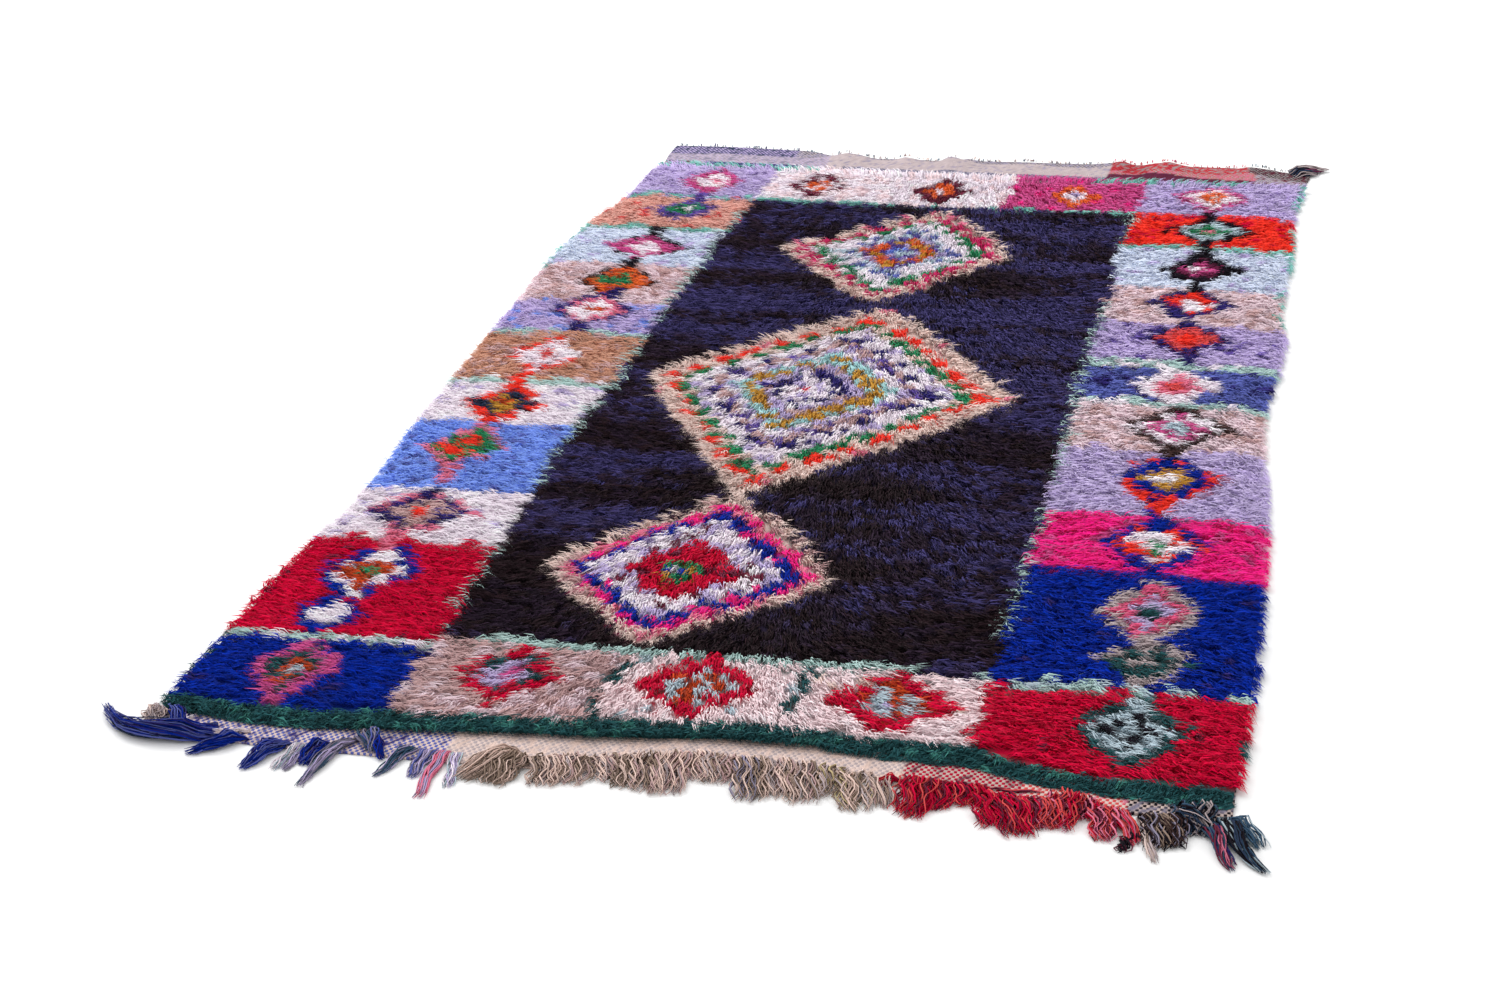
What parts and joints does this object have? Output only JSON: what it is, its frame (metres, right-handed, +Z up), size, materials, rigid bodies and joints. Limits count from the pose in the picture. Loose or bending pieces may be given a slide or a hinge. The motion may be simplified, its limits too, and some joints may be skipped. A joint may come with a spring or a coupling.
{
  "type": "boucherouite rug",
  "caption": "Flat knotted shag rug with a dark field, three stepped diamonds, coloured border blocks, flat-woven ends and loose warp fringe.",
  "frame": {"origin": "on the floor under the middle of the pile, on the underside of the woven ground", "axes": "+X across the rug to the right, +Y along the rug from the fringed near end to the far end, +Z up"},
  "size_m": [1.5368, 2.9777, 0.0288],
  "materials": {
    "ground_weave": "balanced plain weave of cream cotton and coloured yarn, matt",
    "pile": "knotted acrylic and wool shag in many colours, matt with a soft sheen",
    "warp_blue": "loose royal blue warp ends, matt",
    "warp_lilac": "loose grey-lilac warp ends, matt",
    "warp_cream": "curly cream and sand warp ends, matt",
    "warp_red": "loose crimson warp ends, matt",
    "warp_coral": "loose coral warp ends, matt",
    "warp_brown": "loose dark brown and cream warp ends, matt",
    "warp_dark": "twisted tassel of navy, black, teal and white warp ends, matt"
  },
  "bodies": {
    "root": {"ground_weave": "ground_weave", "pile": "pile", "fringe_blue": "warp_blue", "fringe_lilac": "warp_lilac", "fringe_cream": "warp_cream", "fringe_red": "warp_red", "fringe_coral": "warp_coral", "fringe_brown": "warp_brown", "fringe_dark": "warp_dark", "corner_tassel": "warp_dark"}
  },
  "joints": []
}
